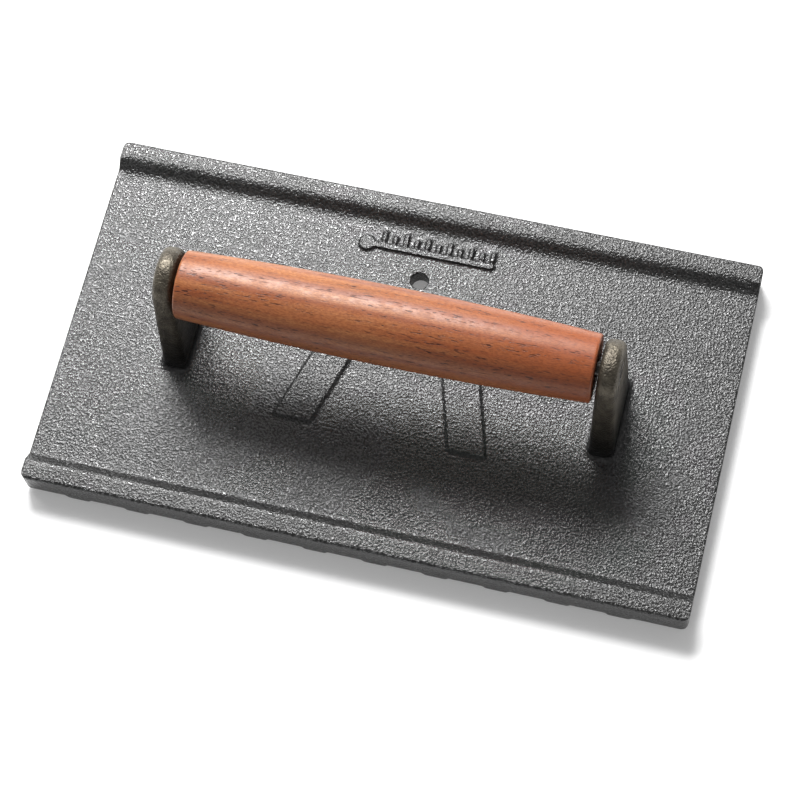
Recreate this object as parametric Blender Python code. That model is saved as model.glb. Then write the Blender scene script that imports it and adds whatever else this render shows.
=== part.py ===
# Cast-iron bacon press with a turned wooden grip.
# The base plate stands on its ribs at Z = 0. Its long side and the grip's axis run along X.
# Sizes are in millimetres and are turned into metres where a mesh is made.

import math

import bmesh
import bpy
from mathutils import Vector

MM = 0.001

# Base plate
PLATE_LENGTH = 229.0
PLATE_DEPTH = 129.8
PLATE_CORNER_RADIUS = 2.4
PLATE_EDGE_RADIUS = 1.2
WEB_THICKNESS = 6.8

# Raised ridges along the two long edges
RIDGE_HEIGHT = 3.2
RIDGE_TOP_WIDTH = 6.8
RIDGE_SLOPE_WIDTH = 3.4

# Searing ribs under the plate, running front to back
RIB_HEIGHT = 2.4
RIB_WIDTH = 9.4
RIB_DRAFT = 1.7
RIB_PITCH = 20.75
RIB_END_MARGIN = 12.0
RIB_PATTERN_SHIFT = -1.9

# Handle posts, cast with the plate. Each round crown sits a little behind the bolt's axis.
POST_SPACING = 148.4
POST_TOP_THICKNESS = 6.6
POST_BASE_THICKNESS = 8.8
POST_BASE_DEPTH = 29.4
POST_TOP_RADIUS = 10.5
LEFT_CROWN_SHIFT = 1.2
RIGHT_CROWN_SHIFT = 0.2
POST_EDGE_RADIUS = 2.3
POST_FILLET = 1.9

# Grip
GRIP_AXIS_HEIGHT = 51.0
GRIP_END_GAP = 1.1
GRIP_END_DIAMETER = 22.8
GRIP_MIDDLE_DIAMETER = 26.3
GRIP_EDGE_RADIUS = 0.9
GRIP_BORE_CLEARANCE = 0.5

# Tie bolt and sleeve nut
BOLT_DIAMETER = 5.0
BOLT_HOLE_CLEARANCE = 0.4
HEAD_OVERHANG = 0.8
HEAD_EDGE_THICKNESS = 0.5
HEAD_RECESS = 0.15
SOCKET_WIDTH = 3.0
SOCKET_DEPTH = 1.8
BOLT_TIP_CHAMFER = 0.6
NUT_WALL = 0.6
NUT_FLOOR = 1.6
NUT_END_GAP = 1.5
NUT_SLOT_WIDTH = 1.0
NUT_SLOT_DEPTH = 0.8
FIT_CLEARANCE = 0.3

# Probe hole through the plate, measured from the foot of the back ridge to its centre
HOLE_DIAMETER = 6.0
HOLE_TO_RIDGE = 19.2

# Raised thermometer mark behind the probe hole, from the foot of the back ridge to its stem
MARK_TO_RIDGE = 9.1
MARK_LENGTH = 48.0
MARK_STEM_WIDTH = 2.1
MARK_BULB_DIAMETER = 5.6
MARK_TICK_COUNT = 11
MARK_TICK_WIDTH = 1.5
MARK_LONG_TICK = 3.7
MARK_SHORT_TICK = 2.4
MARK_TICK_GAP = 0.8
MARK_RAISE = 0.9

# Slanted raised bars on the plate
BAR_WIDTH = 14.4
BAR_HALF_LENGTH = 24.0
BAR_MIDDLE_OFFSET = 23.4
BAR_FRONT_OFFSET = 30.7
BAR_RAISE = 0.9
BAR_SIDE_SLOPE = 1.1
BAR_CORNER_RADIUS = 1.6

# How deep raised details are sunk into the casting that they belong to
ROOT_DEPTH = 1.0
# How far a cutting tool runs past the surface it cuts
CUT_MARGIN = 2.0
# How far a fillet's upper edge is sunk into its post
FILLET_OVERLAP = 0.08

ROUND_STEPS = 32
ARC_STEPS = 4
CROWN_STEPS = 16
GRIP_STATIONS = 10
SMOOTH_ANGLE = math.radians(35)

web_top = RIB_HEIGHT + WEB_THICKNESS
ridge_top = web_top + RIDGE_HEIGHT
post_root = web_top - ROOT_DEPTH
half_length = PLATE_LENGTH / 2
half_depth = PLATE_DEPTH / 2
ridge_foot = half_depth - RIDGE_TOP_WIDTH - RIDGE_SLOPE_WIDTH
hole_y = ridge_foot - HOLE_TO_RIDGE
mark_y = ridge_foot - MARK_TO_RIDGE
nut_bore_radius = BOLT_DIAMETER / 2 + FIT_CLEARANCE
nut_radius = nut_bore_radius + NUT_WALL
head_radius = nut_radius + HEAD_OVERHANG


def post_half_thickness(z):
    """Half thickness of a post, drafted from its base on the plate up to its crown."""
    crown = GRIP_AXIS_HEIGHT + POST_TOP_RADIUS
    share = (z - web_top) / (crown - web_top)
    return (POST_BASE_THICKNESS + (POST_TOP_THICKNESS - POST_BASE_THICKNESS) * share) / 2


# Places along the grip's axis, from the middle of the press
inner_face = POST_SPACING / 2 - post_half_thickness(GRIP_AXIS_HEIGHT)
outer_face = POST_SPACING / 2 + post_half_thickness(GRIP_AXIS_HEIGHT)
grip_end = inner_face - GRIP_END_GAP
head_face = outer_face - HEAD_RECESS
cone_start = head_face - HEAD_EDGE_THICKNESS


def remove_all_objects():
    for old in list(bpy.data.objects):
        bpy.data.objects.remove(old, do_unlink=True)


def make_material(name, colour, roughness, metallic):
    material = bpy.data.materials.new(name)
    material.use_nodes = True
    shader = material.node_tree.nodes["Principled BSDF"]
    shader.inputs["Base Color"].default_value = (*colour, 1.0)
    shader.inputs["Roughness"].default_value = roughness
    shader.inputs["Metallic"].default_value = metallic
    material.diffuse_color = (*colour, 1.0)
    return material


def add_object(name, bm, material=None, origin=(0.0, 0.0, 0.0)):
    """Turn a millimetre bmesh into an object whose origin is at the given point."""
    shift = Vector(origin)
    for vertex in bm.verts:
        vertex.co = (vertex.co - shift) * MM
    bmesh.ops.recalc_face_normals(bm, faces=bm.faces)
    mesh = bpy.data.meshes.new(name)
    bm.to_mesh(mesh)
    bm.free()
    if material:
        mesh.materials.append(material)
    made = bpy.data.objects.new(name, mesh)
    made.location = shift * MM
    bpy.context.scene.collection.objects.link(made)
    return made


def shade_round(made):
    made.data.shade_smooth()
    made.data.set_sharp_from_angle(angle=SMOOTH_ANGLE)


def hide_as_tool(tool):
    tool.hide_render = True
    tool.display_type = "WIRE"
    return tool


def apply_boolean(target, tool, operation):
    modifier = target.modifiers.new(f"{operation.lower()} {tool.name}", "BOOLEAN")
    modifier.operation = operation
    modifier.solver = "EXACT"
    modifier.object = hide_as_tool(tool)


def loft(rings):
    """Closed solid through rings of equally many points, with flat ends."""
    bm = bmesh.new()
    loops = [[bm.verts.new(point) for point in ring] for ring in rings]
    count = len(loops[0])
    for low, high in zip(loops, loops[1:]):
        for i in range(count):
            j = (i + 1) % count
            bm.faces.new((low[i], low[j], high[j], high[i]))
    bm.faces.new(loops[0])
    bm.faces.new(loops[-1])
    return bm


def arc(centre, radius, start, end, steps=ARC_STEPS):
    """Points of an arc, with its angles in degrees."""
    points = []
    for step in range(steps + 1):
        angle = math.radians(start + (end - start) * step / steps)
        points.append((centre[0] + radius * math.cos(angle), centre[1] + radius * math.sin(angle)))
    return points


def rounded_rectangle(half_x, half_y, radius, steps=ARC_STEPS):
    points = []
    for sign_x, sign_y, start in ((1, 1, 0), (-1, 1, 90), (-1, -1, 180), (1, -1, 270)):
        centre = (sign_x * (half_x - radius), sign_y * (half_y - radius))
        points += arc(centre, radius, start, start + 90, steps)
    return points


def circle(centre, radius, steps=ROUND_STEPS):
    return arc(centre, radius, 0, 360 * (1 - 1 / steps), steps - 1)


def turn_about_x(profile, steps=ROUND_STEPS):
    """Turned solid on the grip's axis, from (x, radius) points running along a closed outline."""
    bm = bmesh.new()
    wheels = []
    for x, radius in profile:
        wheel = []
        for y, z in circle((0.0, GRIP_AXIS_HEIGHT), radius, steps):
            wheel.append(bm.verts.new((x, y, z)))
        wheels.append(wheel)
    for this, following in zip(wheels, wheels[1:] + wheels[:1]):
        for i in range(steps):
            j = (i + 1) % steps
            bm.faces.new((this[i], this[j], following[j], following[i]))
    return bm


def turned_plug(stations, steps=ROUND_STEPS):
    """Solid turned plug on the grip's axis, from (x, radius) stations along it."""
    rings = []
    for x, radius in stations:
        rings.append([(x, y, z) for y, z in circle((0.0, GRIP_AXIS_HEIGHT), radius, steps)])
    return loft(rings)


# ---- the casting ----

def ridge_profile():
    """Front-to-back outline of the plate with its two ridges, in Y and Z."""
    edge = PLATE_EDGE_RADIUS
    crest = half_depth - RIDGE_TOP_WIDTH
    back_half = arc((half_depth - edge, ridge_top - edge), edge, 0, 90)
    back_half += [(crest, ridge_top), (ridge_foot, web_top)]
    front_half = [(-y, z) for y, z in reversed(back_half)]
    bottom = arc((-half_depth + edge, edge), edge, 180, 270)
    bottom += arc((half_depth - edge, edge), edge, 270, 360)
    return back_half + front_half + bottom


def rib_centres():
    room = PLATE_LENGTH - 2 * (RIB_END_MARGIN + abs(RIB_PATTERN_SHIFT)) - RIB_WIDTH
    gaps = int(room // RIB_PITCH)
    first = RIB_PATTERN_SHIFT - RIB_PITCH * gaps / 2
    return [first + RIB_PITCH * index for index in range(gaps + 1)]


def rib_profile():
    """Left-to-right outline of the plate with its ribs below, in X and Z, open far above the ridges."""
    edge = PLATE_EDGE_RADIUS
    points = [(half_length, ridge_top + CUT_MARGIN), (-half_length, ridge_top + CUT_MARGIN)]
    points += arc((-half_length + edge, RIB_HEIGHT + edge), edge, 180, 270)
    for centre in rib_centres():
        root = RIB_WIDTH / 2
        tip = root - RIB_DRAFT
        points += [
            (centre - root, RIB_HEIGHT),
            (centre - tip, 0.0),
            (centre + tip, 0.0),
            (centre + root, RIB_HEIGHT),
        ]
    points += arc((half_length - edge, RIB_HEIGHT + edge), edge, 270, 360)
    return points


def plate_blank(material):
    reach_x = half_length + CUT_MARGIN
    ridges = ridge_profile()
    ridge_rings = [[(x, y, z) for y, z in ridges] for x in (-reach_x, reach_x)]
    blank = add_object("press_plate", loft(ridge_rings), material)
    reach_y = half_depth + CUT_MARGIN
    rib_outline = rib_profile()
    rib_rings = [[(x, y, z) for x, z in rib_outline] for y in (-reach_y, reach_y)]
    ribs = add_object("rib_form", loft(rib_rings))
    corners = rounded_rectangle(half_length, half_depth, PLATE_CORNER_RADIUS)
    levels = (-CUT_MARGIN, ridge_top + CUT_MARGIN)
    plan = add_object("corner_form", loft([[(x, y, z) for x, y in corners] for z in levels]))
    apply_boolean(blank, ribs, "INTERSECT")
    apply_boolean(blank, plan, "INTERSECT")
    return blank


def post_slopes(crown_y):
    """Back and front slopes of a post: the angle in degrees at which each meets the crown."""
    touches = []
    for offset in (-crown_y, crown_y):
        reach = POST_BASE_DEPTH / 2 + offset
        rise = GRIP_AXIS_HEIGHT - post_root
        touch = math.acos(POST_TOP_RADIUS / math.hypot(reach, rise)) - math.atan2(rise, reach)
        touches.append(math.degrees(touch))
    return touches


def post_outline(crown_y, inset):
    """Side outline of a post in Y and Z, drawn in by the inset: a round crown on two tangent slopes."""
    back, front = post_slopes(crown_y)
    half_base = POST_BASE_DEPTH / 2
    crown = arc((crown_y, GRIP_AXIS_HEIGHT), POST_TOP_RADIUS - inset, back, 180 - front, CROWN_STEPS)
    back_foot = half_base - inset / math.cos(math.radians(back))
    front_foot = half_base - inset / math.cos(math.radians(front))
    return [(back_foot, post_root)] + crown + [(-front_foot, post_root)]


def post_rings(centre, crown_y):
    """Side outlines of a post from face to face along X, drawn in along its rounded edges."""
    rings = []
    turns = [math.radians(90 * step / ARC_STEPS) for step in range(ARC_STEPS + 1)]
    for side, order in ((-1, turns), (1, reversed(turns))):
        for turn in order:
            inset = POST_EDGE_RADIUS * (1 - math.sin(turn))
            from_face = POST_EDGE_RADIUS * (1 - math.cos(turn))
            ring = []
            for y, z in post_outline(crown_y, inset):
                ring.append((centre + side * (post_half_thickness(z) - from_face), y, z))
            rings.append(ring)
    return rings


def post_fillet_rings(centre, crown_y):
    """Plan outlines of the cast fillet around a post's base, from inside the plate upwards."""
    levels = [(post_root, POST_FILLET)]
    for step in range(ARC_STEPS + 1):
        turn = math.radians(90 * step / ARC_STEPS)
        level = web_top + POST_FILLET * (1 - math.cos(turn))
        levels.append((level, POST_FILLET * (1 - math.sin(turn)) - FILLET_OVERLAP))
    back, front = [math.tan(math.radians(touch)) for touch in post_slopes(crown_y)]
    rings = []
    for z, reach in levels:
        back_y = POST_BASE_DEPTH / 2 - back * (z - post_root)
        front_y = front * (z - post_root) - POST_BASE_DEPTH / 2
        half_x = post_half_thickness(z) + reach
        half_y = (back_y - front_y) / 2 + reach
        middle_y = (back_y + front_y) / 2
        outline = rounded_rectangle(half_x, half_y, POST_EDGE_RADIUS + max(reach, 0.0))
        rings.append([(centre + x, middle_y + y, z) for x, y in outline])
    return rings


def slanted_bar_rings(side):
    """Plan outlines of one raised bar, which leans towards the middle as it runs back."""
    lean = (BAR_FRONT_OFFSET - BAR_MIDDLE_OFFSET) / BAR_HALF_LENGTH
    rings = []
    for z, inset in ((web_top - ROOT_DEPTH, 0.0), (web_top, 0.0), (web_top + BAR_RAISE, BAR_SIDE_SLOPE)):
        half_x = BAR_WIDTH / 2 - inset
        half_y = BAR_HALF_LENGTH - inset
        outline = rounded_rectangle(half_x, half_y, BAR_CORNER_RADIUS - inset)
        rings.append([(side * (BAR_MIDDLE_OFFSET + x - lean * y), y, z) for x, y in outline])
    return rings


def raised_prism(name, outline):
    levels = (web_top - ROOT_DEPTH, web_top + MARK_RAISE)
    return add_object(name, loft([[(x, y, z) for x, y in outline] for z in levels]))


def box_outline(centre_x, low_y, width, length):
    half = width / 2
    return [
        (centre_x - half, low_y),
        (centre_x + half, low_y),
        (centre_x + half, low_y + length),
        (centre_x - half, low_y + length),
    ]


def add_thermometer_mark():
    """Plain raised thermometer beside the probe hole: bulb, stem and a row of ticks."""
    stem_low = mark_y - MARK_STEM_WIDTH / 2
    bulb_centre = (-MARK_LENGTH / 2 + MARK_BULB_DIAMETER / 2, mark_y)
    stem_end = MARK_LENGTH / 2 - MARK_STEM_WIDTH / 2
    stem = [(bulb_centre[0], stem_low + MARK_STEM_WIDTH), (bulb_centre[0], stem_low)]
    stem += arc((stem_end, mark_y), MARK_STEM_WIDTH / 2, -90, 90)
    pieces = [
        raised_prism("mark_bulb", circle(bulb_centre, MARK_BULB_DIAMETER / 2, ROUND_STEPS // 2)),
        raised_prism("mark_stem", stem),
    ]
    first_tick = bulb_centre[0] + MARK_BULB_DIAMETER
    pitch = (stem_end - first_tick) / (MARK_TICK_COUNT - 1)
    tick_low = stem_low + MARK_STEM_WIDTH + MARK_TICK_GAP
    for index in range(MARK_TICK_COUNT):
        length = MARK_SHORT_TICK if index % 2 else MARK_LONG_TICK
        outline = box_outline(first_tick + pitch * index, tick_low, MARK_TICK_WIDTH, length)
        pieces.append(raised_prism(f"mark_tick_{index + 1}", outline))
    return pieces


def countersunk_hole(side, hole_radius):
    """Cutter for a post's hole, with the seat of a countersunk head in its outer face."""
    mouth = head_radius + FIT_CLEARANCE
    seat = cone_start - FIT_CLEARANCE * (math.sqrt(2) - 1)
    stations = [(inner_face - CUT_MARGIN, hole_radius), (seat - (mouth - hole_radius), hole_radius)]
    stations += [(seat, mouth), (outer_face + CUT_MARGIN, mouth)]
    name = "right_bolt_seat" if side > 0 else "left_nut_seat"
    return add_object(name, turned_plug([(side * x, radius) for x, radius in stations]))


def make_press_plate(iron):
    plate = plate_blank(iron)
    raised = []
    for side, word, crown_y in ((-1, "left", LEFT_CROWN_SHIFT), (1, "right", RIGHT_CROWN_SHIFT)):
        centre = side * POST_SPACING / 2
        raised.append(add_object(f"{word}_post", loft(post_rings(centre, crown_y))))
        raised.append(add_object(f"{word}_post_fillet", loft(post_fillet_rings(centre, crown_y))))
        raised.append(add_object(f"{word}_slanted_bar", loft(slanted_bar_rings(side))))
    raised += add_thermometer_mark()
    for piece in raised:
        apply_boolean(plate, piece, "UNION")
    outline = circle((0.0, hole_y), HOLE_DIAMETER / 2)
    levels = (-CUT_MARGIN, web_top + CUT_MARGIN)
    probe_hole = add_object("probe_hole_cutter", loft([[(x, y, z) for x, y in outline] for z in levels]))
    bolt_seat = countersunk_hole(1, BOLT_DIAMETER / 2 + BOLT_HOLE_CLEARANCE)
    nut_seat = countersunk_hole(-1, nut_radius + FIT_CLEARANCE)
    for tool in (probe_hole, bolt_seat, nut_seat):
        apply_boolean(plate, tool, "DIFFERENCE")
    shade_round(plate)
    return plate


# ---- grip, bolt and nut ----

def grip_radius(x):
    """Radius of the barrel-shaped grip, fullest in the middle."""
    share = x / grip_end
    middle = GRIP_MIDDLE_DIAMETER / 2
    end = GRIP_END_DIAMETER / 2
    return end + (middle - end) * (1 - share * share)


def make_handle_grip(wood, pivot):
    edge = GRIP_EDGE_RADIUS
    straight_end = grip_end - edge
    right_half = []
    for step in range(GRIP_STATIONS + 1):
        x = straight_end * step / GRIP_STATIONS
        right_half.append((x, grip_radius(x)))
    shoulder = arc((straight_end, grip_radius(straight_end) - edge), edge, 90, 0)
    right_half += shoulder[1:]
    right_half += [(grip_end, BOLT_DIAMETER / 2 + GRIP_BORE_CLEARANCE)]
    left_half = [(-x, radius) for x, radius in reversed(right_half[1:])]
    grip = add_object("handle_grip", turn_about_x(left_half + right_half), wood, pivot)
    shade_round(grip)
    return grip


def make_tie_bolt(steel, pivot):
    shank = BOLT_DIAMETER / 2
    cone_end = cone_start - (head_radius - shank)
    tip = -(head_face - NUT_FLOOR - FIT_CLEARANCE)
    stations = [(tip, shank - BOLT_TIP_CHAMFER), (tip + BOLT_TIP_CHAMFER, shank), (cone_end, shank)]
    stations += [(cone_start, head_radius), (head_face, head_radius)]
    bolt = add_object("tie_bolt", turned_plug(stations), steel, pivot)
    corner = SOCKET_WIDTH / math.sqrt(3)
    rings = []
    for x in (head_face - SOCKET_DEPTH, head_face + CUT_MARGIN):
        rings.append([(x, y, z) for y, z in circle((0.0, GRIP_AXIS_HEIGHT), corner, 6)])
    socket = add_object("hex_socket_cutter", loft(rings))
    apply_boolean(bolt, socket, "DIFFERENCE")
    shade_round(bolt)
    return bolt


def make_sleeve_nut(steel, pivot):
    cone_end = cone_start - (head_radius - nut_radius)
    inner_end = inner_face + NUT_END_GAP
    stations = [(inner_end, nut_radius), (cone_end, nut_radius)]
    stations += [(cone_start, head_radius), (head_face, head_radius)]
    nut = add_object("sleeve_nut", turned_plug([(-x, radius) for x, radius in stations]), steel, pivot)
    bore_ends = (inner_end - CUT_MARGIN, head_face - NUT_FLOOR)
    thread_bore = add_object("nut_bore_cutter", turned_plug([(-x, nut_bore_radius) for x in bore_ends]))
    low, high = GRIP_AXIS_HEIGHT - 2 * head_radius, GRIP_AXIS_HEIGHT + 2 * head_radius
    rings = []
    for x in (head_face - NUT_SLOT_DEPTH, head_face + CUT_MARGIN):
        corners = box_outline(0.0, low, NUT_SLOT_WIDTH, high - low)
        rings.append([(-x, y, z) for y, z in corners])
    slot = add_object("nut_slot_cutter", loft(rings))
    for tool in (thread_bore, slot):
        apply_boolean(nut, tool, "DIFFERENCE")
    shade_round(nut)
    return nut


def build_press():
    remove_all_objects()
    iron = make_material("seasoned_iron", (0.062, 0.062, 0.062), 0.5, 0.75)
    wood = make_material("oiled_hardwood", (0.36, 0.10, 0.04), 0.45, 0.0)
    steel = make_material("plain_steel", (0.30, 0.30, 0.31), 0.4, 1.0)
    pivot = (0.0, 0.0, GRIP_AXIS_HEIGHT)
    make_press_plate(iron)
    make_handle_grip(wood, pivot)
    make_tie_bolt(steel, pivot)
    make_sleeve_nut(steel, pivot)
    bpy.context.view_layer.update()


build_press()
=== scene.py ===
import math

import bmesh
import bpy
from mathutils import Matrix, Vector, noise


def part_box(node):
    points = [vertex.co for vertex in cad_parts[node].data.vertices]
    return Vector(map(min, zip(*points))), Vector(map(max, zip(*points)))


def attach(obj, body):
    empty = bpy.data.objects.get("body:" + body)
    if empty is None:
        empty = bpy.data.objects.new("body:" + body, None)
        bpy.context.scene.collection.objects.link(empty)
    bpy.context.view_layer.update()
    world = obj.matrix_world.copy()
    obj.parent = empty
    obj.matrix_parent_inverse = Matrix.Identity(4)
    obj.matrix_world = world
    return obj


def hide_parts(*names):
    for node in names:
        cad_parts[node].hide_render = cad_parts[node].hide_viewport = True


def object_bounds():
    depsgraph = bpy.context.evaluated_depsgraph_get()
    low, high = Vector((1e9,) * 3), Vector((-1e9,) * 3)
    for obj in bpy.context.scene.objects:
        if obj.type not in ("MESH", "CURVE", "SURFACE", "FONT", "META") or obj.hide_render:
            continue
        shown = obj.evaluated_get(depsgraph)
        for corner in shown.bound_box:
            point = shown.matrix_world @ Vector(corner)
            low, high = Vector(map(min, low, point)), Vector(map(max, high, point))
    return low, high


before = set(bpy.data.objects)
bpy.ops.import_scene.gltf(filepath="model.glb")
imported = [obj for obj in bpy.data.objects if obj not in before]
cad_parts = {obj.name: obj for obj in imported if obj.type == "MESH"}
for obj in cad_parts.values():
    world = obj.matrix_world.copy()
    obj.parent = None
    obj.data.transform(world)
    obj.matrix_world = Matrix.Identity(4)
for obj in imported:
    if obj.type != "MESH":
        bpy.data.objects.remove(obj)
cadLow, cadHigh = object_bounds()
plateLow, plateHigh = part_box("press_plate")
gripLow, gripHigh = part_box("handle_grip")
gripAxis = Vector((0.0, 0.0, (gripLow.z + gripHigh.z) / 2))
mm = 0.001


def newNode(tree, kind, x, y, settings=None, inputs=None):
    node = tree.nodes.new(kind)
    node.location = (x, y)
    for name, value in (settings or {}).items():
        setattr(node, name, value)
    for name, value in (inputs or {}).items():
        node.inputs[name].default_value = value
    return node


def link(tree, fromNode, output, toNode, socket):
    tree.links.new(fromNode.outputs[output], toNode.inputs[socket])


def newMath(tree, operation, x, y, first=None, second=None):
    node = newNode(tree, "ShaderNodeMath", x, y, {"operation": operation})
    for place, value in enumerate((first, second)):
        if isinstance(value, tuple):
            tree.links.new(value[0].outputs[value[1]], node.inputs[place])
        elif value is not None:
            node.inputs[place].default_value = value
    return node


def mixColours(tree, x, y, factor, first, second, blend="MIX"):
    # sockets 0, 6 and 7 are the factor and the two colours, output 2 is the mixed colour
    node = newNode(tree, "ShaderNodeMix", x, y, {"data_type": "RGBA", "blend_type": blend})
    for socket, value in ((0, factor), (6, first), (7, second)):
        if isinstance(value, tuple) and isinstance(value[0], bpy.types.Node):
            tree.links.new(value[0].outputs[value[1]], node.inputs[socket])
        else:
            node.inputs[socket].default_value = value
    return node


def remap(tree, x, y, source, fromMin, fromMax, toMin=0.0, toMax=1.0):
    node = newNode(tree, "ShaderNodeMapRange", x, y, {"interpolation_type": "SMOOTHSTEP"})
    ends = {"From Min": fromMin, "From Max": fromMax, "To Min": toMin, "To Max": toMax}
    for name, value in ends.items():
        node.inputs[name].default_value = value
    tree.links.new(source[0].outputs[source[1]], node.inputs["Value"])
    return node


def newGroup(name, inputs, outputs):
    tree = bpy.data.node_groups.new(name, "ShaderNodeTree")
    for socketName, kind, default in inputs:
        socket = tree.interface.new_socket(name=socketName, in_out="INPUT", socket_type=kind)
        if default is not None:
            socket.default_value = default
    for socketName, kind in outputs:
        tree.interface.new_socket(name=socketName, in_out="OUTPUT", socket_type=kind)
    return tree, newNode(tree, "NodeGroupInput", -1200, 0), newNode(tree, "NodeGroupOutput", 900, 0)


def useGroup(tree, group, x, y, inputs):
    return newNode(tree, "ShaderNodeGroup", x, y, {"node_tree": group}, inputs)


def newMaterial(name, shaderValues):
    material = bpy.data.materials.new(name)
    material.use_nodes = True
    tree = material.node_tree
    shader = tree.nodes["Principled BSDF"]
    shader.location = (900, 0)
    tree.nodes["Material Output"].location = (1250, 0)
    for socket, value in shaderValues.items():
        shader.inputs[socket].default_value = value
    return material, tree, shader


def dress(piece, material):
    piece.data.materials.clear()
    piece.data.materials.append(material)


def unevenAt(point):
    # smooth noise between 0 and 1
    return 0.5 + 0.5 * noise.noise(point)


def makeMottleGroup():
    # cloudy patches and fine specks: uneven oil, oxide and finger marks
    inputs = [("Vector", "NodeSocketVector", None), ("Patch Scale", "NodeSocketFloat", 40.0)]
    inputs += [("Speck Scale", "NodeSocketFloat", 900.0)]
    outputs = [("Patches", "NodeSocketFloat"), ("Specks", "NodeSocketFloat")]
    tree, groupIn, groupOut = newGroup("mottle", inputs, outputs)
    patches = newNode(tree, "ShaderNodeTexNoise", -700, 200, None, {"Detail": 5.0, "Roughness": 0.6})
    specks = newNode(tree, "ShaderNodeTexNoise", -700, -200, None, {"Detail": 2.0, "Roughness": 0.5})
    for texture, scale in ((patches, "Patch Scale"), (specks, "Speck Scale")):
        link(tree, groupIn, "Vector", texture, "Vector")
        link(tree, groupIn, scale, texture, "Scale")
    softPatches = remap(tree, -400, 200, (patches, "Fac"), 0.3, 0.7)
    softSpecks = remap(tree, -400, -200, (specks, "Fac"), 0.35, 0.65)
    link(tree, softPatches, "Result", groupOut, "Patches")
    link(tree, softSpecks, "Result", groupOut, "Specks")
    return tree


def makeWornEdgeAndHollowShadeGroup():
    # outer edges rubbed by use, broken up so that the rub isn't even; also a mask of the hollows for
    # painted shade
    inputs = [("Vector", "NodeSocketVector", None), ("Start", "NodeSocketFloat", 0.52)]
    inputs += [("End", "NodeSocketFloat", 0.6), ("Breakup Scale", "NodeSocketFloat", 300.0)]
    outputs = [("Mask", "NodeSocketFloat"), ("Hollow Shade", "NodeSocketFloat")]
    tree, groupIn, groupOut = newGroup("wornEdgeAndHollowShade", inputs, outputs)
    shape = newNode(tree, "ShaderNodeNewGeometry", -1000, 300)
    edge = newNode(tree, "ShaderNodeMapRange", -500, 300, {"interpolation_type": "SMOOTHSTEP"})
    link(tree, shape, "Pointiness", edge, "Value")
    link(tree, groupIn, "Start", edge, "From Min")
    link(tree, groupIn, "End", edge, "From Max")
    breakup = newNode(tree, "ShaderNodeTexNoise", -800, -100, None, {"Detail": 3.0})
    link(tree, groupIn, "Vector", breakup, "Vector")
    link(tree, groupIn, "Breakup Scale", breakup, "Scale")
    broken = remap(tree, -500, -100, (breakup, "Fac"), 0.3, 0.6, 0.25, 1.0)
    mask = newMath(tree, "MULTIPLY", -150, 200, (edge, "Result"), (broken, "Result"))
    # painted shade: concave creases and hollows
    hollowShade = remap(tree, -150, -300, (shape, "Pointiness"), 0.5, 0.42)
    link(tree, mask, "Value", groupOut, "Mask")
    link(tree, hollowShade, "Result", groupOut, "Hollow Shade")
    return tree


mottle = makeMottleGroup()
wornEdgeAndHollowShade = makeWornEdgeAndHollowShadeGroup()
print("shared effects ready")


casting = {
    "weld": 0.002 * mm,
    "voxel": 0.36 * mm,
    "smoothing": 2,
    "coveSmoothing": 160,         # the cove where a ridge meets the plate is wide and soft
    "coveMiddle": 8.0 * mm,       # from the plate's long edge
    "coveReach": 6.8 * mm,
    "coveEnds": 2.0 * mm,         # left crisp at the plate's short edges
    "coveFacing": 0.3,            # only skin that looks up belongs to a cove
    "frontCove": 0.22,            # the front ridge keeps a much crisper foot
    "postSmoothing": 14,
    "bumpSpacing": 1.1 * mm,      # size of the sand grain left on the plate
    "bumpDepth": 0.09 * mm,
    "finerSpacing": 2.1,          # a finer grain in between, this many times closer
    "finerShare": 0.3,
    "waveSpacing": 9.0 * mm,      # slow unevenness of a hand-rammed mould
    "waveDepth": 0.015 * mm,
    "postShare": 0.8,             # the posts come out of the mould smoother than the plate
    "postFoot": 14.4 * mm,
    "postBlend": 4.0 * mm,        # height over which the smoothing of a post sets in
    "skinBlend": 3.0 * mm,        # and over which its finer skin does
    "skinClear": 0.02 * mm,
}


def weldedCopy(node, name):
    mesh = bpy.data.meshes.new(name)
    bm = bmesh.new()
    bm.from_mesh(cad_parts[node].data)
    bmesh.ops.remove_doubles(bm, verts=bm.verts, dist=casting["weld"])
    bm.to_mesh(mesh)
    bm.free()
    copy = bpy.data.objects.new(name, mesh)
    bpy.context.scene.collection.objects.link(copy)
    return copy


def bakeModifiers(piece):
    depsgraph = bpy.context.evaluated_depsgraph_get()
    made = bpy.data.meshes.new_from_object(piece.evaluated_get(depsgraph))
    piece.modifiers.clear()
    piece.data = made


def sandCastSink(point, postAmount):
    # how far the skin lies below the true shape: grain and slow waves, both only inwards
    spot = point / casting["bumpSpacing"]
    grain = unevenAt(spot)
    finer = unevenAt(spot * casting["finerSpacing"] + Vector((7.0, 3.0, 5.0)))
    wave = unevenAt(point / casting["waveSpacing"] + Vector((2.0, 9.0, 4.0)))
    both = (1.0 - casting["finerShare"]) * grain + casting["finerShare"] * finer
    share = 1.0 + (casting["postShare"] - 1.0) * postAmount
    return share * casting["bumpDepth"] * both + casting["waveDepth"] * wave


def smoothOver(piece, name, iterations, group=""):
    smooth = piece.modifiers.new(name, "SMOOTH")
    smooth.factor = 0.5
    smooth.iterations = iterations
    smooth.vertex_group = group


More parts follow.
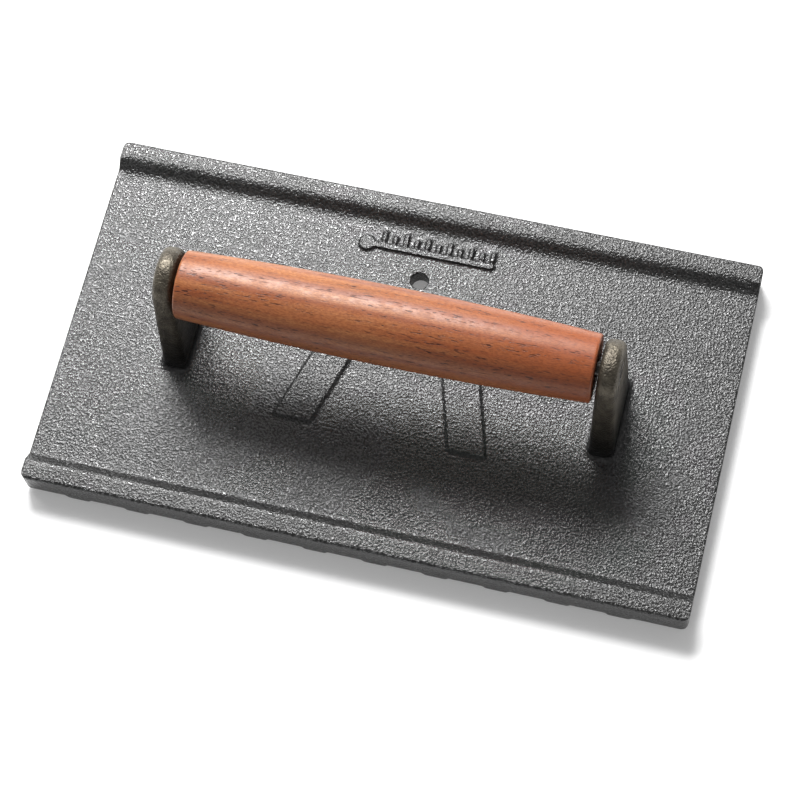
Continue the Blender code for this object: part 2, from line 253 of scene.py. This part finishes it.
def markSoftParts(plate):
    # vertex groups of the two ridge slopes, fading out at foot and crest, and of the posts
    coves = plate.vertex_groups.new(name="coves")
    posts = plate.vertex_groups.new(name="posts")
    middle = plateHigh.y - casting["coveMiddle"]
    for vertex in plate.data.vertices:
        away = abs(abs(vertex.co.y) - middle) / casting["coveReach"]
        inside = abs(vertex.co.x) < plateHigh.x - casting["coveEnds"]
        if away < 1.0 and inside and vertex.normal.z > casting["coveFacing"]:
            softness = 1.0 if vertex.co.y > 0.0 else casting["frontCove"]
            coves.add([vertex.index], softness * (1.0 - away * away), "REPLACE")
        rise = (vertex.co.z - casting["postFoot"]) / casting["postBlend"]
        if rise > 0.0:
            posts.add([vertex.index], min(rise, 1.0), "REPLACE")


def makeCasting():
    plate = weldedCopy("press_plate", "castPressPlate")
    remesh = plate.modifiers.new("even skin", "REMESH")
    remesh.mode = "VOXEL"
    remesh.voxel_size = casting["voxel"] * 1
    smoothOver(plate, "cast rounding", casting["smoothing"])
    bakeModifiers(plate)
    markSoftParts(plate)
    smoothOver(plate, "cove", casting["coveSmoothing"], "coves")
    smoothOver(plate, "posts", casting["postSmoothing"], "posts")
    bakeModifiers(plate)
    clear = casting["skinClear"]
    mesh = plate.data
    normals = [vertex.normal.copy() for vertex in mesh.vertices]
    for vertex, normal in zip(mesh.vertices, normals):
        point = vertex.co
        postAmount = min(1.0, max(0.0, (point.z - casting["postFoot"]) / casting["skinBlend"]))
        moved = point - normal * sandCastSink(point, postAmount)
        moved.x = min(max(moved.x, plateLow.x + clear), plateHigh.x - clear)
        moved.y = min(max(moved.y, plateLow.y + clear), plateHigh.y - clear)
        moved.z = max(moved.z, plateLow.z)
        vertex.co = moved
    mesh.shade_smooth()
    print("casting:", len(mesh.vertices), "points")
    return plate


iron = {
    "plateColour": (0.070, 0.070, 0.070, 1.0),
    "plateDark": (0.065, 0.065, 0.065, 1.0),
    "postColour": (0.135, 0.118, 0.090, 1.0),
    "postDark": (0.052, 0.044, 0.034, 1.0),
    "rubbedColour": (0.17, 0.17, 0.17, 1.0),
    # painted shade colour, for the hollows and the low parts of the posts
    "paintedShadeColour": (0.020, 0.020, 0.020, 1.0),
    "metallic": 0.74,
    "roughness": 0.27,
    "patchScale": 38.0,
    "grainScale": 1300.0,
    "grainContrast": (0.33, 0.67),
    "grainHeight": 0.14 * mm,
    "grainTone": (0.62, 1.32),    # pits are darker than the tops of the grain
    "postStart": 11.4 * mm,       # the posts have a duller, browner skin from here up
    "postEnd": 17.4 * mm,
    "postDull": 0.16,
    "postGrain": 0.8,
    "browningScale": 210.0,
    "paintedShadeTop": 43.0 * mm,         # and get painted shade low down, darkest towards the foot
    "paintedShadeFoot": 15.0 * mm,
    "paintedShadeShare": 0.8,
    "hollowShadeShare": 0.6,
    "rubShare": 0.55,
    "wear": {"Start": 0.56, "End": 0.66, "Breakup Scale": 420.0},
}


def makeIronMaterial():
    surface = {"Metallic": iron["metallic"], "Specular IOR Level": 0.5}
    material, tree, shader = newMaterial("seasonedIron", surface)
    place = newNode(tree, "ShaderNodeTexCoord", -1400, 0)
    patches = useGroup(tree, mottle, -1100, 200, {"Patch Scale": iron["patchScale"]})
    wearAndShade = useGroup(tree, wornEdgeAndHollowShade, -1100, -100, iron["wear"])
    for group in (patches, wearAndShade):
        link(tree, place, "Object", group, "Vector")
    split = newNode(tree, "ShaderNodeSeparateXYZ", -1100, -400)
    link(tree, place, "Object", split, "Vector")
    postMask = remap(tree, -850, -400, (split, "Z"), iron["postStart"], iron["postEnd"])
    field = mixColours(tree, -600, 250, (patches, "Patches"), iron["plateDark"], iron["plateColour"])
    grain = newNode(tree, "ShaderNodeTexNoise", -1100, -600, None,
                    {"Scale": iron["grainScale"], "Detail": 2.0, "Roughness": 0.5})
    link(tree, place, "Object", grain, "Vector")
    pebbles = remap(tree, -850, -600, (grain, "Fac"), *iron["grainContrast"])
    specks = remap(tree, -850, 50, (pebbles, "Result"), 0.0, 1.0, *iron["grainTone"])
    specked = mixColours(tree, -350, 250, 1.0, (field, 2), (specks, "Result"), "MULTIPLY")
    browning = useGroup(tree, mottle, -1100, 500, {"Patch Scale": iron["browningScale"]})
    link(tree, place, "Object", browning, "Vector")
    postField = mixColours(tree, -350, 500, (browning, "Patches"), iron["postDark"], iron["postColour"])
    # painted shade: the posts blend towards the dark colour lower down, where the grip shades them
    low, high, share = iron["paintedShadeFoot"], iron["paintedShadeTop"], iron["paintedShadeShare"]
    paintedShade = remap(tree, -350, 750, (split, "Z"), high, low, 0.0, share)
    postShade = mixColours(tree, -150, 600, (paintedShade, "Result"), (postField, 2), iron["paintedShadeColour"])
    withPosts = mixColours(tree, -100, 250, (postMask, "Result"), (specked, 2), (postShade, 2))
    # painted shade: the hollows and creases blend towards near black
    hollowShadeShare = newMath(tree, "MULTIPLY", -350, -50, (wearAndShade, "Hollow Shade"), iron["hollowShadeShare"])
    withHollowShade = mixColours(tree, 150, 250, (hollowShadeShare, "Value"), (withPosts, 2), iron["paintedShadeColour"])
    rubShare = newMath(tree, "MULTIPLY", -350, -220, (wearAndShade, "Mask"), iron["rubShare"])
    rubbed = mixColours(tree, 400, 250, (rubShare, "Value"), (withHollowShade, 2), iron["rubbedColour"])
    tree.links.new(rubbed.outputs[2], shader.inputs["Base Color"])
    least, most = iron["roughness"] - 0.01, iron["roughness"] + 0.01
    oiled = remap(tree, 150, 0, (patches, "Patches"), 0.0, 1.0, most, least)
    dulled = remap(tree, 150, -200, (postMask, "Result"), 0.0, 1.0, 0.0, iron["postDull"])
    roughness = newMath(tree, "ADD", 400, -100, (oiled, "Result"), (dulled, "Result"))
    link(tree, roughness, "Value", shader, "Roughness")
    calmer = remap(tree, -350, -600, (postMask, "Result"), 0.0, 1.0, 1.0, iron["postGrain"])
    height = newMath(tree, "MULTIPLY", -100, -600, (pebbles, "Result"), (calmer, "Result"))
    bump = newNode(tree, "ShaderNodeBump", 400, -500, None,
                   {"Strength": 1.0, "Distance": iron["grainHeight"]})
    link(tree, height, "Value", bump, "Height")
    link(tree, bump, "Normal", shader, "Normal")
    return material


castPlate = makeCasting()
dress(castPlate, makeIronMaterial())
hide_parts("press_plate")
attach(castPlate, "press")


grip = {
    "barrel": 1.75 * mm,          # how much thicker the middle is than the ends
    "edgeRadius": 0.9 * mm,
    "boreRadius": 3.0 * mm,
    "aroundSteps": 144,
    "alongSteps": 160,
    "edgeSteps": 6,
    "unevenness": 0.05 * mm,
    "alongWaves": 60.0,
    "aroundWaves": 1.5,
    "endRings": (0.75, 0.5, 0.25, 0.08),
    "boreLip": 0.4 * mm,
}


def gripProfile():
    halfLength = (gripHigh.x - gripLow.x) / 2
    middleRadius = (gripHigh.z - gripLow.z) / 2
    edge = grip["edgeRadius"]
    straight = halfLength - edge

    def radiusAt(x):
        return middleRadius - grip["barrel"] * (x / halfLength) ** 2

    right = []
    for step in range(grip["alongSteps"] // 2 + 1):
        x = straight * step / (grip["alongSteps"] // 2)
        right.append((x, radiusAt(x)))
    for step in range(1, grip["edgeSteps"] + 1):
        turn = math.radians(90 * step / grip["edgeSteps"])
        radius = radiusAt(straight) - edge * (1 - math.cos(turn))
        right.append((straight + edge * math.sin(turn), radius))
    bore = grip["boreRadius"]
    endRadius = right[-1][1]
    for share in grip["endRings"]:
        right.append((halfLength, bore + (endRadius - bore) * share))
    right.append((halfLength - grip["boreLip"], bore))
    left = [(-x, radius) for x, radius in reversed(right[1:])]
    return left + right


def makeGrip():
    bm = bmesh.new()
    steps = grip["aroundSteps"]
    along, across = grip["alongWaves"], grip["aroundWaves"]
    wheels = []
    for x, radius in gripProfile():
        wheel = []
        for index in range(steps):
            angle = 2 * math.pi * index / steps
            around = Vector((x, math.cos(angle), math.sin(angle)))
            spot = Vector((x * along, around.y * across, around.z * across))
            sink = grip["unevenness"] * unevenAt(spot)
            # the bore and the end face around it stay true
            turned = radius - sink if radius > 2 * grip["boreRadius"] else radius
            wheel.append(bm.verts.new((x, turned * around.y, gripAxis.z + turned * around.z)))
        wheels.append(wheel)
    for this, following in zip(wheels, wheels[1:] + wheels[:1]):
        for i in range(steps):
            j = (i + 1) % steps
            bm.faces.new((this[i], this[j], following[j], following[i]))
    bmesh.ops.recalc_face_normals(bm, faces=bm.faces)
    mesh = bpy.data.meshes.new("turnedGrip")
    bm.to_mesh(mesh)
    bm.free()
    mesh.shade_smooth()
    made = bpy.data.objects.new("turnedGrip", mesh)
    bpy.context.scene.collection.objects.link(made)
    print("grip:", len(mesh.vertices), "points")
    return made


wood = {
    "light": (0.400, 0.160, 0.060, 1.0),
    "middle": (0.290, 0.088, 0.031, 1.0),
    "dark": (0.140, 0.034, 0.013, 1.0),
    "heart": (0.250, 0.050, 0.014, 1.0),
    "pore": (0.055, 0.016, 0.009, 1.0),
    "ringScale": 70.0,
    "ringDistortion": 5.0,
    "heartOffset": (0.0, 0.038, -0.030),
    "heartStretch": (0.12, 1.0, 1.0),
    "streakStretch": (12.0, 420.0, 420.0),
    "poreStretch": (330.0, 2400.0, 2400.0),
    "fleckStretch": (900.0, 2600.0, 2600.0),
    "roughness": 0.42,
    "oil": 0.15,
    "streakShare": 0.5,
    "warmShare": 0.6,
    "heartShare": 0.6,
    "heartStart": -10.0 * mm,     # where the redder end begins
    "heartEnd": 80.0 * mm,
    "fleckShare": 0.45,
    "edgeShare": 0.35,
    "poreDepth": 0.06 * mm,
    "mottle": {"Patch Scale": 45.0, "Speck Scale": 260.0},
    "wear": {"Start": 0.53, "End": 0.62, "Breakup Scale": 500.0},
}


def stretchedNoise(tree, place, x, y, stretch, detail):
    # noise drawn out along the fibres, which run along the grip
    mapping = newNode(tree, "ShaderNodeMapping", x, y, None, {"Scale": stretch})
    link(tree, place, "Object", mapping, "Vector")
    texture = newNode(tree, "ShaderNodeTexNoise", x + 250, y, None, {"Scale": 1.0, "Detail": detail})
    link(tree, mapping, "Vector", texture, "Vector")
    return texture


def makeWoodMaterial():
    surface = {"Specular IOR Level": 0.3, "Coat Roughness": 0.4}
    material, tree, shader = newMaterial("oiledHardwood", surface)
    place = newNode(tree, "ShaderNodeTexCoord", -1900, 0)
    # growth rings about a heart that lies outside the blank
    heart = newNode(tree, "ShaderNodeMapping", -1650, 400, None,
                    {"Location": wood["heartOffset"], "Scale": wood["heartStretch"]})
    link(tree, place, "Object", heart, "Vector")
    rings = newNode(tree, "ShaderNodeTexWave", -1400, 400,
                    {"wave_type": "RINGS", "rings_direction": "X", "wave_profile": "SIN"},
                    {"Scale": wood["ringScale"], "Distortion": wood["ringDistortion"],
                     "Detail": 3.0, "Detail Scale": 0.35, "Detail Roughness": 0.6})
    link(tree, heart, "Vector", rings, "Vector")
    streaks = stretchedNoise(tree, place, -1650, 0, wood["streakStretch"], 6.0)
    pores = stretchedNoise(tree, place, -1650, -400, wood["poreStretch"], 1.0)
    flecks = stretchedNoise(tree, place, -1650, -650, wood["fleckStretch"], 2.0)
    patches = useGroup(tree, mottle, -1150, -750, wood["mottle"])
    wearAndShade = useGroup(tree, wornEdgeAndHollowShade, -1150, -1000, wood["wear"])
    for group in (patches, wearAndShade):
        link(tree, place, "Object", group, "Vector")
    ringMask = remap(tree, -1150, 400, (rings, "Fac"), 0.15, 0.95)
    ringed = mixColours(tree, -900, 400, (ringMask, "Result"), wood["middle"], wood["light"])
    streakMask = remap(tree, -1150, 0, (streaks, "Fac"), 0.36, 0.62)
    streaked = mixColours(tree, -900, 100, (streakMask, "Result"), wood["dark"], wood["light"])
    together = mixColours(tree, -650, 300, wood["streakShare"], (ringed, 2), (streaked, 2))
    warmShare = newMath(tree, "MULTIPLY", -650, 50, (patches, "Patches"), wood["warmShare"])
    warmed = mixColours(tree, -400, 300, (warmShare, "Value"), (together, 2), wood["middle"])
    # one end was cut nearer the heart of the tree and is redder
    split = newNode(tree, "ShaderNodeSeparateXYZ", -1150, 650)
    link(tree, place, "Object", split, "Vector")
    start, end, share = wood["heartStart"], wood["heartEnd"], wood["heartShare"]
    nearHeart = remap(tree, -900, 650, (split, "X"), start, end, 0.0, share)
    reddened = mixColours(tree, -300, 500, (nearHeart, "Result"), (warmed, 2), wood["heart"])
    fleckMask = remap(tree, -900, -600, (flecks, "Fac"), 0.42, 0.60)
    fleckShare = newMath(tree, "MULTIPLY", -650, -100, (fleckMask, "Result"), wood["fleckShare"])
    flecked = mixColours(tree, -250, 300, (fleckShare, "Value"), (reddened, 2), wood["dark"])
    # pores come in drifts, open in some bands and nearly closed in others
    poreMask = remap(tree, -900, -400, (pores, "Fac"), 0.58, 0.68)
    drift = remap(tree, -900, -750, (streaks, "Fac"), 0.56, 0.40, 0.15, 1.0)
    poreShare = newMath(tree, "MULTIPLY", -650, -350, (poreMask, "Result"), (drift, "Result"))
    pored = mixColours(tree, -50, 300, (poreShare, "Value"), (flecked, 2), wood["pore"])
    edgeShare = newMath(tree, "MULTIPLY", -150, -100, (wearAndShade, "Mask"), wood["edgeShare"])
    finished = mixColours(tree, 150, 300, (edgeShare, "Value"), (pored, 2), wood["dark"])
    tree.links.new(finished.outputs[2], shader.inputs["Base Color"])
    least, most = wood["roughness"] - 0.04, wood["roughness"] + 0.08
    sheen = remap(tree, 150, 0, (patches, "Specks"), 0.0, 1.0, least, most)
    link(tree, sheen, "Result", shader, "Roughness")
    oil = remap(tree, 150, -200, (poreShare, "Value"), 0.0, 1.0, wood["oil"], 0.0)
    link(tree, oil, "Result", shader, "Coat Weight")
    fibre = newMath(tree, "MULTIPLY", -650, -550, (flecks, "Fac"), 0.6)
    height = newMath(tree, "SUBTRACT", -400, -500, (fibre, "Value"), (poreShare, "Value"))
    bump = newNode(tree, "ShaderNodeBump", 400, -400, None,
                   {"Strength": 0.7, "Distance": wood["poreDepth"]})
    link(tree, height, "Value", bump, "Height")
    link(tree, bump, "Normal", shader, "Normal")
    return material


turnedGrip = makeGrip()
dress(turnedGrip, makeWoodMaterial())
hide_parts("handle_grip")
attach(turnedGrip, "grip")


steel = {
    "bright": (0.24, 0.235, 0.225, 1.0),
    "dull": (0.085, 0.078, 0.070, 1.0),
    "stain": (0.10, 0.055, 0.03, 1.0),
    "roughness": 0.38,
    "stainShare": 0.5,
    "toolMarkStretch": (9000.0, 500.0, 500.0),
    "toolMarkDepth": 0.02 * mm,
    "mottle": {"Patch Scale": 260.0, "Speck Scale": 2600.0},
    "wear": {"Start": 0.54, "End": 0.64, "Breakup Scale": 900.0},
}


def makeSteelMaterial():
    material, tree, shader = newMaterial("plainSteel", {"Metallic": 1.0})
    place = newNode(tree, "ShaderNodeTexCoord", -1400, 0)
    patches = useGroup(tree, mottle, -1100, 200, steel["mottle"])
    wearAndShade = useGroup(tree, wornEdgeAndHollowShade, -1100, -150, steel["wear"])
    turning = newNode(tree, "ShaderNodeMapping", -1100, -450, None, {"Scale": steel["toolMarkStretch"]})
    for target in (patches, wearAndShade, turning):
        link(tree, place, "Object", target, "Vector")
    toolMarks = newNode(tree, "ShaderNodeTexNoise", -850, -450, None, {"Scale": 1.0, "Detail": 2.0})
    link(tree, turning, "Vector", toolMarks, "Vector")
    base = mixColours(tree, -600, 200, (patches, "Patches"), steel["dull"], steel["bright"])
    stainMask = remap(tree, -850, -50, (patches, "Specks"), 0.55, 0.9, 0.0, steel["stainShare"])
    stained = mixColours(tree, -300, 200, (stainMask, "Result"), (base, 2), steel["stain"])
    rubbed = mixColours(tree, 0, 200, (wearAndShade, "Mask"), (stained, 2), steel["bright"])
    tree.links.new(rubbed.outputs[2], shader.inputs["Base Color"])
    least, most = steel["roughness"] - 0.08, steel["roughness"] + 0.12
    dull = remap(tree, 0, -50, (patches, "Specks"), 0.0, 1.0, least, most)
    link(tree, dull, "Result", shader, "Roughness")
    bump = newNode(tree, "ShaderNodeBump", 400, -350, None,
                   {"Strength": 0.5, "Distance": steel["toolMarkDepth"]})
    link(tree, toolMarks, "Fac", bump, "Height")
    link(tree, bump, "Normal", shader, "Normal")
    return material


steelMaterial = makeSteelMaterial()
for nodeName in ("tie_bolt", "sleeve_nut"):
    dress(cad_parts[nodeName], steelMaterial)
print("grip and fixings dressed")


studio = {
    "floorSize": 6.0,
    "floorGap": 0.05 * mm,
    "floorColour": (0.78, 0.78, 0.78, 1.0),
    "roomStrength": 0.26,         # the room overhead
    "wallStrength": 0.22,         # its walls, low down around the table
    "wallTop": 0.5,
    "wallFoot": 0.15,
    "floorGlow": 0.22,            # light that comes through the paper from below
    "backdropStrength": 1.0,      # the pale backdrop as the camera sees it
}

lamps = [
    {"name": "farSoftbox", "place": (-0.25, 0.95, 0.85), "size": (0.70, 0.50), "power": 5.4},
    {"name": "backSoftbox", "place": (-0.26, 0.57, 0.85), "size": (0.42, 0.32), "power": 16.6},
    {"name": "cornerSoftbox", "place": (-0.60, 0.48, 0.80), "size": (0.50, 0.50), "power": 4.4},
]


def makeFloor():
    half = studio["floorSize"] / 2
    mesh = bpy.data.meshes.new("studioFloor")
    corners = [(-half, -half, 0.0), (half, -half, 0.0), (half, half, 0.0), (-half, half, 0.0)]
    mesh.from_pydata(corners, [], [(0, 1, 2, 3)])
    floor = bpy.data.objects.new("studioFloor", mesh)
    floor.location.z = cadLow.z - studio["floorGap"]
    bpy.context.scene.collection.objects.link(floor)
    paper = {"Base Color": studio["floorColour"], "Roughness": 0.9}
    paper.update({"Emission Color": (1.0, 1.0, 1.0, 1.0), "Emission Strength": studio["floorGlow"]})
    dress(floor, newMaterial("palePaper", paper)[0])


def makeLamp(settings):
    data = bpy.data.lights.new(settings["name"], "AREA")
    data.shape = "RECTANGLE"
    data.size, data.size_y = settings["size"]
    data.energy = settings["power"]
    lamp = bpy.data.objects.new(settings["name"], data)
    lamp.location = settings["place"]
    lamp.rotation_euler = (-lamp.location).to_track_quat("-Z", "Y").to_euler()
    bpy.context.scene.collection.objects.link(lamp)


def makeWorld():
    world = bpy.data.worlds.new("studioWorld")
    world.use_nodes = True
    tree = world.node_tree
    background = tree.nodes["Background"]
    background.inputs["Color"].default_value = (1.0, 1.0, 1.0, 1.0)
    place = newNode(tree, "ShaderNodeTexCoord", -1000, 0)
    split = newNode(tree, "ShaderNodeSeparateXYZ", -800, 0)
    link(tree, place, "Generated", split, "Vector")
    top, foot = studio["wallTop"], studio["wallFoot"]
    room, wall = studio["roomStrength"], studio["wallStrength"]
    walls = remap(tree, -600, 0, (split, "Z"), top, foot, room, wall)
    seen = newNode(tree, "ShaderNodeLightPath", -600, 250)
    backdrop = newMath(tree, "MULTIPLY", -350, 250, (seen, "Is Camera Ray"), studio["backdropStrength"])
    strength = newMath(tree, "MAXIMUM", -150, 0, (walls, "Result"), (backdrop, "Value"))
    link(tree, strength, "Value", background, "Strength")
    bpy.context.scene.world = world


view = {
    "place": (0.12582, -0.30022, 0.80504),
    "turn": (21.3765, 3.4841, 13.8718),
    "lens": 113.73,
}


def makeCamera():
    data = bpy.data.cameras.new("camera")
    data.lens = view["lens"]
    data.sensor_width = 36.0
    data.clip_start = 0.01
    data.clip_end = 50.0
    camera = bpy.data.objects.new("camera", data)
    camera.location = view["place"]
    camera.rotation_euler = [math.radians(angle) for angle in view["turn"]]
    bpy.context.scene.collection.objects.link(camera)
    bpy.context.scene.camera = camera


makeFloor()
makeWorld()
for lampSettings in lamps:
    makeLamp(lampSettings)
makeCamera()
bpy.context.scene.view_settings.view_transform = "Standard"
print("studio ready")
